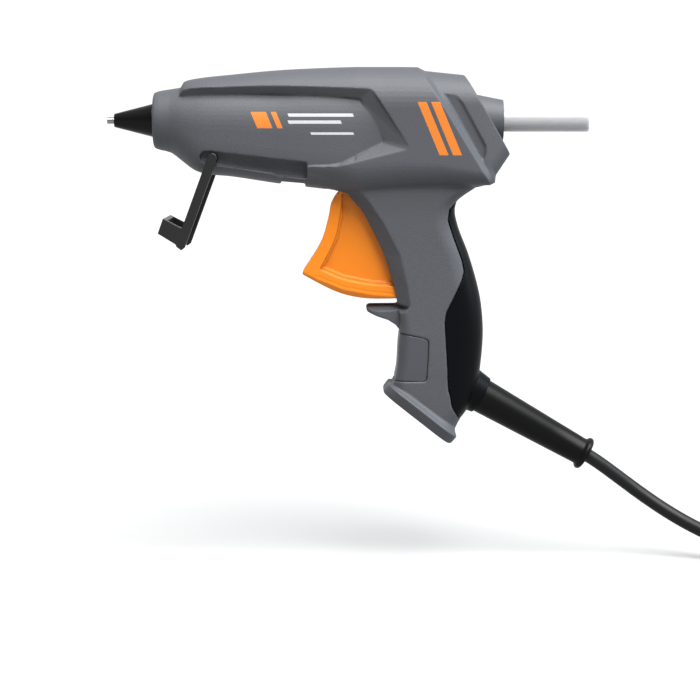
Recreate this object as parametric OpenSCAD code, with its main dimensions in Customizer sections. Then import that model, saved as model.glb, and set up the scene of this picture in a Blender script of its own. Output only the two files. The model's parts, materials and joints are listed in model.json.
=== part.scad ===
// Hand-held hot glue gun: two-shell housing, melting chamber, trigger feed,
// folding stand and a mains lead bundled in a tied hank. Millimetres, nozzle towards -X.

/* [Show] */
// node to draw ("all" draws the whole tool)

/* [Glue stick] */
// glue stick diameter
stick_d = 11.2; // [10.8:0.1:11.6]
// glue stick length
stick_len = 180.5; // [60:0.5:250]
// how far the stick stands out behind the tool's origin
stick_end_x = 80.5; // [45:0.5:120]

/* [Housing] */
// height of the feed axis above the middle of the hand grip
axis_z = 90; // [90:0.1:90]
// shell wall thickness
wall = 2.5; // [2:0.1:3]
// half width of the base flange
base_hw = 20; // [18:0.5:22]
// half width of the finger guard
guard_hw = 11; // [9:0.5:12]
// soft grip thickness
grip_t = 1.8; // [1.4:0.1:2.2]

/* [Nozzle and chamber] */
// outlet bore radius
outlet_r = 0.9; // [0.7:0.1:1.2]
// steel tip radius
tip_r = 1.65; // [1.5:0.05:2]
// melting chamber outer radius
chamber_r = 9; // [8.8:0.1:9.4]
// melting chamber bore radius
chamber_bore = 5.85; // [5.8:0.01:6]

/* [Trigger] */
// half width of the trigger flanges
trig_hw = 10; // [9:0.5:10]
// half width of the trigger web
web_hw = 7.5; // [6:0.5:8]
// pivot pin radius
pin_r = 2; // [2:0.1:2]

/* [Stand] */
// arm thickness across the tool
stand_t = 2.4; // [2:0.1:3]

/* [Mains lead] */
// cable radius
cord_r = 3.5; // [3:0.1:4]
// height of the surface the lead rests on
floor_z = -130; // [-150:1:-110]
// plug pin radius
plug_pin_r = 2.4; // [2:0.1:2.4]

/* [Hidden] */
$fn = 48;
e = 0.01;
AZ = axis_z;
SR = stick_d / 2;
PIV = [-38, 61];           // trigger pivot
CP = [-35.387, 77.5];      // carriage pin at rest
STP = [-106.8, 71.1];      // stand pivot
RA = 29.5;                 // slope of the cable exit
RD = [cos(RA), -sin(RA)];
R0 = [27.6, -48.7];        // cable exit face centre
BA = 38.2;                 // slope of the base
BD = [cos(BA), -sin(BA)];
B0 = [-22, -46.2];         // front end of the base line
HX = 185;                  // start of the lead's hank
HS = 105;                  // hank run
CZ = floor_z + cord_r + 0.9; // lowest cord centre
SCREWS = [[-104, 104.8], [-56, 107], [6, 106], [-66, 66.2], [14, 66], [11, 24], [-6, -46]];

// ---------- helpers ----------
function arc2(cx, cy, r, a0, a1, n) =
  [for (i = [0:n]) [cx + r * cos(a0 + (a1 - a0) * i / n), cy + r * sin(a0 + (a1 - a0) * i / n)]];
function sm(t) = t <= 0 ? 0 : t >= 1 ? 1 : t * t * (3 - 2 * t);
function unit(v) = v / norm(v);
// half section, y >= 0: u is the lengthwise coordinate, w the half width
function hsec(u0, u1, w, r0, r1, y0) =
  let (a = min(r0, w - 0.4), b = min(r1, w - 0.4))
  concat([[u0, y0]],
    [for (p = arc2(w - a, u0 + a, a, -90, 0, 6)) [p[1], p[0]]],
    [for (p = arc2(w - b, u1 - b, b, 0, 90, 6)) [p[1], p[0]]],
    [[u1, y0]]);
// closed solid through equal-length rings of 3D points
module loft(R) {
  n = len(R[0]);
  m = len(R);
  polyhedron(
    points = [for (r = R) each r],
    faces = concat(
      [[for (j = [0:n - 1]) j]],
      [for (i = [0:m - 2]) for (j = [0:n - 1]) let (k = (j + 1) % n)
        each [[i * n + j, (i + 1) * n + j, i * n + k], [i * n + k, (i + 1) * n + j, (i + 1) * n + k]]],
      [[for (j = [0:n - 1]) (m - 1) * n + n - 1 - j]]));
}
// round bar along a path; up is never along the path
module bar(P, r, up, n = 10) {
  m = len(P);
  loft([for (i = [0:m - 1])
    let (t = unit(P[min(i + 1, m - 1)] - P[max(i - 1, 0)]),
      a = unit(cross(t, up)), b = cross(a, t))
    [for (k = [0:n - 1]) P[i] + r * (cos(k * 360 / n) * a - sin(k * 360 / n) * b)]]);
}
// extrude a side profile (x, z) from y0 to y1
module side(P, y0, y1) {
  translate([0, y1, 0]) rotate([90, 0, 0]) linear_extrude(y1 - y0) polygon(P);
}
// cylinder along X
module cx(x0, x1, r, z = AZ) { translate([x0, 0, z]) rotate([0, 90, 0]) cylinder(h = x1 - x0, r = r); }
module cone(x0, r0, x1, r1) { translate([x0, 0, AZ]) rotate([0, 90, 0]) cylinder(h = x1 - x0, r1 = r0, r2 = r1); }
// cylinder along Y
module cy(p, y0, y1, r) { translate([p[0], y1, p[1]]) rotate([90, 0, 0]) cylinder(h = y1 - y0, r = r); }
// cylinder along the cable exit
module cr(t0, t1, r0, r1) {
  translate([R0[0] + t0 * RD[0], 0, R0[1] + t0 * RD[1]]) rotate([0, 90 + RA, 0])
    cylinder(h = t1 - t0, r1 = r0, r2 = r1);
}
module bx(x0, x1, y0, y1, z0, z1) { translate([x0, y0, z0]) cube([x1 - x0, y1 - y0, z1 - z0]); }

// ---------- housing ----------
// barrel stations: x low, x high, z low, z high, half width, low radius, high radius
BAR = [[-138, -138, 76, 104, 14, 14, 14], [-136.6, -136.6, 75.2, 104.6, 14.7, 14, 14],
  [-128.4, -128.4, 73.8, 105.6, 15.8, 14, 15], [-123.4, -123.4, 70, 106.1, 17.6, 9, 14],
  [-121.2, -121.2, 68.4, 109.5, 18.6, 7, 13], [-114.3, -114.3, 64, 111, 20.2, 6, 12],
  [-98.5, -98.5, 62.1, 112.6, 22, 6, 12], [-73.7, -73.7, 58.5, 114.9, 23.3, 6, 12],
  [-49, -49, 55.6, 116.1, 24, 6, 12], [-36, -36, 52.4, 116.5, 24, 6, 12],
  [29.4, -4.4, 58.4, 116.4, 24, 6, 12], [31.8, 0, 60.4, 114.8, 21.6, 6, 10],
  [40.3, 17.8, 73.4, 112.5, 20, 6, 10]];
function bar_ring(s, g, y0) =
  [for (p = hsec(s[2] + g, s[3] - g, s[4] - g, max(s[5] - g, 1), max(s[6] - g, 1), y0))
    [s[0] + (s[1] - s[0]) * (p[0] - s[2]) / (s[3] - s[2]), p[1], p[0]]];
module barrel_outer() { loft([for (s = BAR) bar_ring(s, 0, 0)]); }
module barrel_inner() {
  S = concat([[-135.4, -135.4, 75, 104.9, 14.9, 14, 14]], [for (i = [2:9]) BAR[i]],
    [[26.4, -4.4, 58.2, 116.4, 24, 6, 12], [28.4, -1, 60.2, 114.9, 21.8, 6, 10],
    [37, 14.8, 72.4, 113, 20.3, 6, 10]]);
  loft([for (s = S) bar_ring(s, wall, -1)]);
}
// handle stations: z, x front, x rear, half width, front radius, rear radius
HAN = [[-75, -16, 17, 15.6, 6, 11], [-61, -16, 17, 15.8, 6, 11], [-50, -17, 23.5, 16.2, 6, 12],
  [-41, -17.2, 25.6, 16.5, 6, 12], [-33.8, -15.9, 26.7, 16.8, 6, 13], [-20, -15, 27.9, 17, 6, 13],
  [-12, -14, 27.9, 17, 5, 13], [0, -15.4, 26.7, 17, 3, 13], [8.1, -17.2, 25, 17, 3, 13],
  [23.5, -22.1, 20.4, 17, 3, 12], [38.3, -29.1, 14.8, 17.5, 3, 12], [46, -33.6, 13.4, 19, 3, 10],
  [50.9, -38, 15.1, 20.5, 3, 8], [56, -41, 22.4, 21.5, 3, 7], [60, -41, 27, 21.5, 3, 6]];
function han_ring(s, g, gf, y0) =
  let (q = hsec(s[1] + gf, s[2] - g, s[3] - g, max(s[4] - g, 0.8), max(s[5] - g, 0.8), y0))
  [for (i = [len(q) - 1:-1:0]) [q[i][0], q[i][1], s[0]]];
module half_space(y1 = 60) { bx(-400, 400, 0, y1, -200, 200); }
module handle_outer() { loft([for (s = HAN) han_ring(s, 0, 0, 0)]); }
module handle_inner(g, y0 = -1) { loft([for (s = HAN) han_ring(s, g, g, y0)]); }
// half space below the base line, moved up by d along its normal
module below_base(d) {
  side([B0 + d * [BD[1] * -1, BD[0]] - 60 * BD, B0 + d * [BD[1] * -1, BD[0]] + 90 * BD,
    B0 + 90 * BD - 60 * [-BD[1], BD[0]], B0 - 60 * BD - 60 * [-BD[1], BD[0]]], -60, 60);
}
// base flange outline in its own plane
module base_slab(g, t0, t1) {
  translate([B0[0], 0, B0[1]]) rotate([0, BA, 0]) translate([0, 0, t0])
    linear_extrude(t1 - t0)
      polygon(concat([[-1 + g, -1]], arc2(9, base_hw - 10, 10 - g, 180, 90, 6),
        arc2(34, base_hw - 10, 10 - g, 90, 0, 6), [[44 - g, -1]]));
}
GUARD = [[-31, -3.9], [-30.6, -5.9], [-29.2, -7.2], [-25, -9], [-16.2, -12.6], [-12, -13.4],
  [-8, -13.4], [-8, -3.2], [-29.6, -3.2]];
module guard_half() {
  intersection() {
    side(GUARD, 0, guard_hw);
    translate([0, 0, -20]) linear_extrude(25)
      polygon(concat([[-31, -1]], arc2(-24, guard_hw - 7, 7, 180, 90, 8), [[0, guard_hw], [0, -1]]));
  }
}
// inner ribs, rails and screw bosses, y >= 0
module inner_frame(counterbored) {
  difference() {
    bx(-129, -126.4, 0, 30, 78, 120);
    cx(-130, -126, 12.52);
  }
  difference() {
    bx(-75.4, -72.6, 0, 30, 78, 120);
    cx(-76, -72, 11.05);
  }
  difference() {
    bx(-14, -11, 0, 30, 80, 120);
    cx(-15, -10, 7.65);
  }
  bx(-56, -16, 12.6, 30, 84.6, 87.2);
  bx(-56, -16, 12.6, 30, 92.8, 95.4);
  for (p = SCREWS) cy(p, -1, 30, 4.2);
  cy(PIV, trig_hw + 0.7, 30, 4.4);
  cy(STP, 13, 30, 4.6);
  // cable exit wall with the relief's flange groove
  difference() {
    cr(-11, 1, 15, 15);
    cr(-12, -5.5, 8.9, 8.9);
  }
  // thick wall behind the stand recess
  bx(-113, -60, 15.4, 30, 50, 75.5);
  // terminal block shelf, open where the wires pass
  difference() {
    bx(-14, 24, 0, 30, -31.2, -29.2);
    bx(-1.5, 5, 1, 8, -32, -29);
  }
}
// bore and flange groove for the strain relief
module relief_seat() {
  cr(-14, 0.05, 8.35, 8.35);
  cr(0, 6, 8.85, 8.85);
  cr(-8.1, -5.9, 9.75, 9.75);
}
// right half of the shell (y >= 0); the left one is its mirror image with pilot holes
module half_shell(right) {
  difference() {
    union() {
      barrel_outer();
      difference() {
        handle_outer();
        below_base(3);
      }
      intersection() {
        base_slab(0, 0, 4.4);
        half_space();
      }
      guard_half();
      side([[24, 57], [32.7, 59.1], [32.7, 63.4], [33.6, 64.6], [24, 66]], 0, 15);
    }
    difference() {
      union() {
        barrel_inner();
        difference() {
          loft([for (s = HAN) han_ring(s, wall, wall, -1)]);
          below_base(6);
        }
      }
      inner_frame(right);
    }
    // trigger slot: through the belly, the handle front and the upper grip
    side([[-50.4, 50], [-50.4, 61], [-44, 66], [-18, 66], [-6, 40], [8, 14], [8, 1.2], [-20, 1.2],
      [-60, 1.2], [-60, 45]], -1, trig_hw + 0.6);
    // collar mouth, funnel seat, cable exit
    cx(-139, -134, 8.35);
    cone(19, 13.95, 38, 10.3);
    relief_seat();
    difference() {
      cr(-9.02, 3, 11.22, 9.22);
      handle_inner(grip_t, -2);
      base_slab(0, -1, 4.43);
    }
    // stand seats
    cy(STP, 19.3, 40, 3.6);
    side([[-113, 78], [-111.4, 73.7], [-60.2, 68.1], [-60.2, 50], [-113, 50]], 19.3, 40);
    side([[-112, 76], [-111, 73.7], [-61, 68.2], [-61, 61.6], [-74.6, 61.6], [-77.8, 63.3],
      [-104.8, 67.2], [-110.5, 66], [-113, 70]], 18.1, 40);
    cy(STP, 12, 40, 2.3);
    side([[-73.7, 50], [-73.7, 60], [-61.2, 59], [-61.2, 50]], -1, 40);
    // side panels
    side([[-112, 102], [-90.3, 102.5], [-65.4, 101.4], [-39, 99.5], [-33.9, 99], [-21.2, 77.9],
      [-21.9, 76.9], [-40.9, 68.5], [-61, 69.6], [-100, 74.4], [-112, 76]], 22.9, 40);
    // soft grip and finger pad seats
    difference() {
      side(GRIP, -1, 40);
      handle_inner(grip_t, -2);
    }
    difference() {
      side(PAD, -1, 40);
      handle_inner(1.2, -2);
    }
    // pivot and fasteners
    cy(PIV, 9, 18.5, pin_r + 0.02);
    for (p = SCREWS)
      if (right) {
        cy(p, -1, 20, 1.7);
        cy(p, 12, 40, 3.1);
      } else cy(p, -1, 12.6, 1.52);
  }
}
module right_housing() { color("DimGray") half_shell(true); }
module left_housing() { color("DimGray") mirror([0, 1, 0]) half_shell(false); }
module housing_screws() {
  color("Silver") for (p = SCREWS) difference() {
    union() {
      cy(p, -11.5, 12.02, 1.5);
      cy(p, 12, 14.2, 2.8);
    }
    translate([p[0], 13.1, p[1]]) rotate([-90, 0, 0]) {
      translate([-2, -0.35, 0]) cube([4, 0.7, 3]);
      translate([-0.35, -2, 0]) cube([0.7, 4, 3]);
    }
  }
}

// ---------- soft grip ----------
GRIP = [[23.6, 55.8], [15.1, 50.9], [10.2, 46], [9.5, 40.4], [12.3, 32], [16.5, 20.7], [17.6, 15.1],
  [16.5, 10.9], [12.3, 1.8], [8.8, -5.3], [8.1, -10.2], [9.2, -27.7], [10, -44], [11, -47.6],
  [11.9, -52.9], [15.4, -58.8], [40, -62], [40, 50], [28, 56]];
PAD = [[-40, -16], [-13, -16], [-2, -18.4], [0.2, -21], [0.2, -27], [-0.5, -38.6], [-2.5, -40],
  [-40, -40]];
module grip_half() {
  difference() {
    union() {
      intersection() {
        side(GRIP, 0, 40);
        handle_outer();
      }
      // collar of the soft grip round the cable exit
      intersection() {
        cr(-9, 0, 11.2, 9.7);
        half_space();
      }
    }
    handle_inner(grip_t, -2);
    relief_seat();
    intersection() {
      barrel_outer();
      bx(-60, 60, -1, 40, 50, 120);
    }
    base_slab(0, -1, 4.45);
  }
}
module right_grip() { color("DarkSlateGray") grip_half(); }
module left_grip() { color("DarkSlateGray") mirror([0, 1, 0]) grip_half(); }
module pad_half() {
  difference() {
    intersection() {
      side(PAD, 0, 40);
      handle_outer();
    }
    handle_inner(1.2, -2);
  }
}
module finger_pad() {
  color("SlateGray") {
    pad_half();
    mirror([0, 1, 0]) pad_half();
  }
}

// ---------- feed line ----------
module inlet_funnel() {
  color("DimGray") difference() {
    cone(20, 13.7, 37.5, 10.25);
    cx(19, 24.02, 7.62);
    cx(23, 38, 6.3);
    cone(26, 6.3, 37.6, 8.7);
  }
}
module guide_tube() {
  color("Gray") difference() {
    cx(-16, 24, 7.6);
    cx(-17, 25, SR + 0.5);
  }
}
module melt_chamber() {
  color("Silver") difference() {
    union() {
      cx(-134, -72, chamber_r);
      bx(-118, -82, -8.6, 8.6, 74.4, 84);
      for (x = [-122, -79]) cx(x, x + 1.6, 10.6);
    }
    cx(-126.5, -71, chamber_bore);
    cone(-129.5, 3, -126.49, chamber_bore);
    cx(-134.1, -129, 5.02);
    bx(-116, -81, -6.7, 6.7, 76.2, 80.2);
  }
}
module ptc_heater() {
  color("Tan") bx(-115, -85, -6.6, 6.6, 76.4, 80);
}
module heater_clip() {
  color("Silver") difference() {
    bx(-108, -92, -9.6, 9.6, 73.4, 84.6);
    bx(-109, -91, -8.65, 8.65, 74.38, 90);
  }
}
module inlet_seal() {
  color("Maroon") difference() {
    union() {
      cx(-77, -70, 11);
      cone(-70.01, 9.4, -60, 7.4);
    }
    cx(-78, -71.98, chamber_r + 0.02);
    cx(-73, -59, SR + 0.12);
  }
}
module chamber_ring() {
  color("SaddleBrown") difference() {
    union() {
      cx(-129, -126.4, 12.5);
      cx(-126.4, -124, 12.9);
    }
    cx(-130, -123, chamber_r + 0.02);
  }
}
module nozzle() {
  color("Silver") difference() {
    union() {
      cx(-160.5, -156, tip_r);
      cone(-156.01, tip_r, -140, 5);
      cx(-140.01, -129.6, 5);
      cx(-138, -134.05, 6.6);
    }
    cx(-161, -150, outlet_r);
    cone(-150.01, outlet_r, -147, 2.6);
    cx(-147.01, -129, 2.6);
  }
}
module valve_ball() { color("Gray") translate([-146.2, 0, AZ]) sphere(r = 1.7); }
module valve_spring() {
  color("Silver") bar([for (i = [0:96]) let (a = i * 15)
    [-144.2 + 12.4 * i / 96, 1.95 * cos(a), AZ + 1.95 * sin(a)]], 0.3, [1, 0, 0], 6);
}
module nozzle_sleeve() {
  color("Black") difference() {
    union() {
      cone(-157, 3.325, -138, 8.2);
      cx(-138.01, -134.1, 8.25);
      cx(-135.3, -134.1, 10.4);
    }
    cx(-158, -155.9, tip_r + 0.02);
    cone(-156.01, tip_r + 0.02, -140, 5.02);
    cx(-140.01, -137.9, 5.02);
    cx(-138, -133, 6.62);
  }
}

// ---------- electrics ----------
WIRE = [[2.5, 6, -16.6], [2.5, 6, -13.4], [3, 10, -8], [3, 12.6, 5], [1, 12.8, 25], [-1, 12.8, 45], [-8, 12.8, 60],
  [-20, 12.8, 69.4], [-38, 12.8, 71.8], [-60, 12.8, 72.8], [-74, 11.6, 74.4], [-80, 7.4, 77],
  [-84.9, 4.4, 78.2]];
function cr1(a, b, c, d, t) = 0.5 * (2 * b + (c - a) * t + (2 * a - 5 * b + 4 * c - d) * t * t
  + (3 * b - a - 3 * c + d) * t * t * t);
function spline(P, k) = let (n = len(P))
  concat([for (i = [0:n - 2]) for (j = [0:k - 1])
    cr1(P[max(i - 1, 0)], P[i], P[i + 1], P[min(i + 2, n - 1)], j / k)], [P[n - 1]]);
module wire_half() {
  bar(spline(WIRE, 4), 1.1, unit([0.2, 1, 0.1]), 8);
  bar(spline([[1, 2.2, -33.2], [0.9, 4.4, -31.9], [1, 6, -29.4], [1, 6, -26.45]], 4), 1.1, [0, 1, 0], 8);
}
module lead_wires() {
  color("White") {
    wire_half();
    mirror([0, 1, 0]) wire_half();
  }
}
module terminal_block() {
  color("Ivory") difference() {
    bx(-7, 9, -10, 10, -29.1, -14.4);
    for (s = [-1, 1]) {
      translate([1, s * 6, -29.2]) cylinder(h = 2.8, r = 1.3);
      translate([2.5, s * 6, -16.7]) cylinder(h = 3, r = 1.3);
      translate([-7.1, s * 6, -22]) rotate([0, 90, 0]) cylinder(h = 4, r = 2);
    }
  }
}
module cord_clamp() {
  color("DimGray") difference() {
    cr(-24, -16, 3.5 + 3, 3.5 + 3);
    cr(-25, -15, cord_r + 0.02, cord_r + 0.02);
  }
  color("DimGray") for (s = [-1, 1]) difference() {
    translate([R0[0] - 20 * RD[0], s * 9.2, R0[1] - 20 * RD[1]]) rotate([0, RA, 0])
      cube([8, 5.4, 4], center = true);
    clamp_hole(s, 1.52);
    cr(-25, -15, 6.4, 6.4);
  }
}
module clamp_hole(s, r) {
  translate([R0[0] - 20 * RD[0], s * 9.4, R0[1] - 20 * RD[1]]) rotate([0, RA, 0])
    translate([0, 0, -6]) cylinder(h = 12, r = r);
}
module clamp_screws() {
  color("Silver") for (s = [-1, 1])
    translate([R0[0] - 20 * RD[0], s * 9.4, R0[1] - 20 * RD[1]]) rotate([0, RA, 0]) {
      translate([0, 0, -5]) cylinder(h = 7.1, r = 1.5);
      translate([0, 0, 2.05]) cylinder(h = 1.8, r = 2.6);
    }
}
module strain_relief() {
  color("Black") difference() {
    union() {
      cr(-8, -6, 9.6, 9.6);
      cr(-6.1, 0.2, 8.3, 8.3);
      cr(0.1, 59, 8.75, 6.8);
      cr(58.4, 61.6, 8.4, 8.4);
    }
    cr(-9, 63, cord_r + 0.02, cord_r + 0.02);
  }
}

// ---------- mains lead ----------
function bez(a, b, c, d, t) = pow(1 - t, 3) * a + 3 * t * pow(1 - t, 2) * b
  + 3 * t * t * (1 - t) * c + t * t * t * d;
EX = [R0[0] + 61 * RD[0], R0[1] + 61 * RD[1]];
LEAD = concat(
  [for (t = [-29:15:31]) [R0[0] + t * RD[0], 0, R0[1] + t * RD[1]]],
  [for (i = [0:22]) let (p = bez(EX, EX + 24 * RD, [132, CZ], [HX, CZ], i / 22))
    [p[0], -28.8 * sm((p[0] - 98) / (HX - 98)), p[1]]]);
module power_cord() { color("Black") bar(LEAD, cord_r, [0, 1, 0], 12); }

// hank turns: r at run 1 start/end, z at run 1 start/end, r and z through the right fold,
// then r at run 2 end and z at run 2 end, r and z at the left fold's end
PINCH = 18;
function pin_in(x) = PINCH * (0.5 - 0.5 * cos(360 * (x - HX) / HS));
function run(r0, r1, z0, z1, s, a, b, back) =
  [for (i = [0:14]) let (f = i / 14, x = back ? HX + HS - f * HS : HX + f * HS,
      g = sm((f - a) / (b - a)), r = r0 + (r1 - r0) * g, z = z0 + (z1 - z0) * g)
    [x, s * (r - pin_in(x)), CZ + z]];
function fold(x, r0, r1, z0, z1, a0) =
  [for (i = [1:11]) let (f = i / 12, r = r0 + (r1 - r0) * sm(f), z = z0 + (z1 - z0) * sm(f), a = a0 + 180 * f)
    [x + r * cos(a), r * sin(a), CZ + z]];
HANK = concat(
  run(28.8, 28.8, 0, 0, -1, 0, 1, false), fold(HX + HS, 28.8, 28.8, 0, 0, -90),
  run(28.8, 21.6, 0, 0, 1, 0, 1, true), fold(HX, 21.6, 21.6, 0, 0, 90),
  run(21.6, 21.6, 0, 7.2, -1, 0.4, 1, false), fold(HX + HS, 21.6, 21.6, 7.2, 7.2, -90),
  run(21.6, 21.6, 7.2, 7.2, 1, 0, 1, true), fold(HX, 21.6, 21.6, 7.2, 7.2, 90),
  run(21.6, 28.8, 7.2, 7.2, -1, 0, 0.36, false), fold(HX + HS, 28.8, 28.8, 7.2, 7.2, -90),
  run(28.8, 28.8, 7.2, 7.2, 1, 0, 1, true), fold(HX, 28.8, 25.2, 7.2, 13.9, 90),
  run(25.2, 25.2, 13.9, 13.9, -1, 0, 1, false), fold(HX + HS, 25.2, 25.2, 13.9, 13.9, -90),
  run(25.2, 25.2, 13.9, 13.9, 1, 0, 1, true),
  [for (i = [1:11]) let (a = 90 + 15 * i) [HX + 21.8 * cos(a), 3.4 + 21.8 * sin(a), CZ + 13.9 + 3 * i / 12]],
  [for (i = [0:14]) let (f = i / 14)
    [HX + 76 * f, -18.4 + 18.4 * sm(f), CZ + 16.9 + 12.3 * sm(f * 1.05)]]);
module cord_hank() { color("Black") bar(HANK, cord_r, [0, 0, 1], 10); }
module hank_tie() {
  color("White") translate([HX + HS / 2 - 3, 0, CZ]) rotate([0, 90, 0])
    linear_extrude(6) difference() {
      tie_outline(4.4);
      tie_outline(3.6);
    }
}
module tie_outline(r) {
  polygon(concat(arc2(0, 10.9, r, 0, 90, 6), arc2(-7.2, 10.9, r, 90, 117, 3), arc2(-14, 7.5, r, 117, 180, 5),
    arc2(-14, -7.5, r, 180, 243, 5), arc2(-7.2, -10.9, r, 243, 270, 3), arc2(0, -10.9, r, 270, 360, 6)));
}
PX = HX + 76;              // cable end of the plug
PZ = CZ + 29.2;            // plug axis
module mains_plug() {
  color("Black") translate([0, 0, PZ]) difference() {
    union() {
      rotate([0, 90, 0]) translate([0, 0, PX - 2]) cylinder(h = 14, r1 = 5.6, r2 = 7.5);
      hull() for (s = [-1, 1]) {
        translate([PX + 11, s * 6, 0]) rotate([0, 90, 0]) cylinder(h = 2, r = 8, $fn = 32);
        translate([PX + 20, s * 9, 0]) rotate([0, 90, 0]) cylinder(h = 2, r = 10, $fn = 32);
      }
      hull() for (s = [-1, 1]) {
        translate([PX + 21.9, s * 8, 0]) rotate([0, 90, 0]) cylinder(h = 2, r = 11, $fn = 32);
        translate([PX + 32, s * 6.5, 0]) rotate([0, 90, 0]) cylinder(h = 2, r = 11.4, $fn = 32);
      }
    }
    rotate([0, 90, 0]) translate([0, 0, PX - 4]) cylinder(h = 4.2, r = cord_r + 0.05);
    for (s = [-1, 1]) translate([PX + 24, s * 9.5, 0]) rotate([0, 90, 0])
      cylinder(h = 12, r = plug_pin_r - 0.38);
  }
}
module plug_pins() {
  color("Silver") for (s = [-1, 1]) translate([0, s * 9.5, PZ]) rotate([0, 90, 0]) {
    translate([0, 0, PX + 24.1]) cylinder(h = 10.2, r = plug_pin_r - 0.4);
    translate([0, 0, PX + 34.2]) cylinder(h = 17.8, r = plug_pin_r);
    translate([0, 0, PX + 51.9]) cylinder(h = 1.1, r1 = plug_pin_r, r2 = plug_pin_r - 0.9);
  }
}

// ---------- trigger and feed ----------
module trigger_pin() { color("Silver") cy(PIV, -18, 18, pin_r); }
FRONT = spline([[-43.4, 56], [-46.2, 53], [-48.6, 48.4], [-49.9, 41.8], [-53.7, 29.2], [-62.4, 15.2]], 5);
FOOT = spline([[-62.4, 13.1], [-46, 4.7], [-31.9, 1.4], [-16, 1.3]], 5);
TRIG = concat(FRONT, [[-62.9, 14]], FOOT, [[-8.6, 1.6], [-10.4, 8.1],
  [-15.2, 23.5], [-22.2, 38.3], [-27.6, 48], [-32, 58], [-34, 64.5], [-42, 64.6]]);
module trigger() {
  color("DarkOrange") difference() {
    union() {
      side(TRIG, -web_hw, web_hw);
      // front flange
      side(concat(FRONT, [[-62.9, 14], [-62.4, 13.1], [-57.5, 10.7]],
        spline([[-56, 13.2], [-51.6, 20.7], [-46.3, 32], [-43.9, 43.9], [-42.6, 55]], 4)), -trig_hw, trig_hw);
      // foot flange
      side(concat([[-61.4, 12.7]], [for (i = [1:len(FOOT) - 1]) FOOT[i]], [[-8.6, 1.6], [-10.3, 7.74]],
        spline([[-17.9, 7.7], [-28.4, 8.1], [-42.5, 10.9], [-54, 15.8]], 4)), -trig_hw + 0.1, trig_hw - 0.1);
      // rear flange, behind the housing edge
      side([[-10.2, 7], [-10.5, 8.1], [-15.3, 23.5], [-22.3, 38.3], [-27.7, 48], [-32.1, 58], [-36, 60],
        [-30, 47], [-24.6, 37], [-17.6, 22.4], [-12.8, 7.2]], -trig_hw + 0.2, trig_hw - 0.2);
      cy(PIV, -trig_hw + 0.3, trig_hw - 0.3, 5);
      // fork arm
      translate([PIV[0], 0, PIV[1]]) rotate([0, 9, 0])
        bx(-4.6, 4.6, -2.6, 2.6, 0, 19.2);
    }
    cy(PIV, -20, 20, pin_r + 0.05);
    translate([PIV[0], 0, PIV[1]]) rotate([0, 9, 0]) bx(-2.16, 2.16, -3, 3, 13.4, 21);
    // recessed web faces
    for (s = [-1, 1]) scale([1, s, 1])
      side([[-43.2, 51], [-42.6, 43.6], [-45, 31.6], [-50.3, 20.2], [-52.4, 17], [-42.2, 12.6],
        [-28.2, 9.8], [-18.6, 9.4], [-23.2, 23.4], [-30, 38]], web_hw - 1.2, 20);
  }
}
module trigger_spring() {
  color("Silver") bar(concat(
    [for (i = [0:3]) [PIV[0] + 5.1 + 2.4 * (4 - i) / 4, -12.8, PIV[1] + 5.6 * (4 - i) / 4]],
    [for (i = [0:48]) let (a = i * 15) [PIV[0] + 5.1 * cos(a), -12.8 + 2 * i / 48, PIV[1] - 5.1 * sin(a)]],
    [for (i = [1:2]) [PIV[0] + 5.1 + 0.4 * i, -10.8, PIV[1] - 1.1 * i]]), 0.45, [0, 1, 0], 6);
}
module feed_carriage() {
  color("Ivory") difference() {
    union() {
      bx(-47, -23, -10, 10, 82, 99.5);
      bx(-47, -23, -14.2, 14.2, 87.8, 92.2);
      for (s = [-1, 1]) scale([1, s, 1]) bx(-40.4, -30.4, 3, 6.4, 73.6, 83);
    }
    cx(-48, -22, SR + 0.5);
    bx(-40.5, -29.5, -3.1, 3.1, 90, 101);
    cy(CP, -20, 20, 2.02);
  }
}
module carriage_pin() { color("Silver") cy(CP, -6.4, 6.4, 2); }
module gripper() {
  color("DarkGray") side([[-40, 99], [-40, 96.6], [-39, 95.75], [-38.2, 96.6], [-37.2, 95.75],
    [-36.4, 96.6], [-35.4, 95.75], [-34.6, 96.6], [-33.6, 95.75], [-32.8, 96.6], [-31.8, 95.75],
    [-30, 96.6], [-30, 99]], -3, 3);
}
module gripper_spring() {
  color("Silver") side([[-46.6, 99.52], [-40.4, 99.52], [-39.2, 99.04], [-30.8, 99.04], [-29.6, 99.52], [-23.4, 99.52],
    [-23.4, 100.1], [-29.8, 100.1], [-31, 99.62], [-39, 99.62], [-40.2, 100.1], [-46.6, 100.1]], -2.4, 2.4);
}
module glue_stick() { color("WhiteSmoke") cx(stick_end_x - stick_len, stick_end_x, SR); }

// ---------- stand ----------
CHEEK = [[-109.3, 71.6], [-108.6, 73.3], [-106.8, 74.1], [-105, 73.3], [-104.3, 71.3], [-120.6, 27.4],
  [-122.4, 26.1], [-125, 28], [-125, 28.9], [-134, 34.4], [-131.3, 42], [-122, 37.2], [-119.6, 43.6]];
module stand() {
  color("Black") {
    for (s = [-1, 1]) scale([1, s, 1]) side(CHEEK, 19.6, 19.6 + stand_t);
    side([[-129.4, 31.6], [-134, 34.4], [-131.3, 42], [-129.4, 41], [-131.6, 35.2], [-128.4, 33.2]], -19.65, 19.65);
  }
}
module stand_pins() { color("Black") for (s = [-1, 1]) scale([1, s, 1]) cy(STP, 12.4, 19.6, 2.25); }

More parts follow.
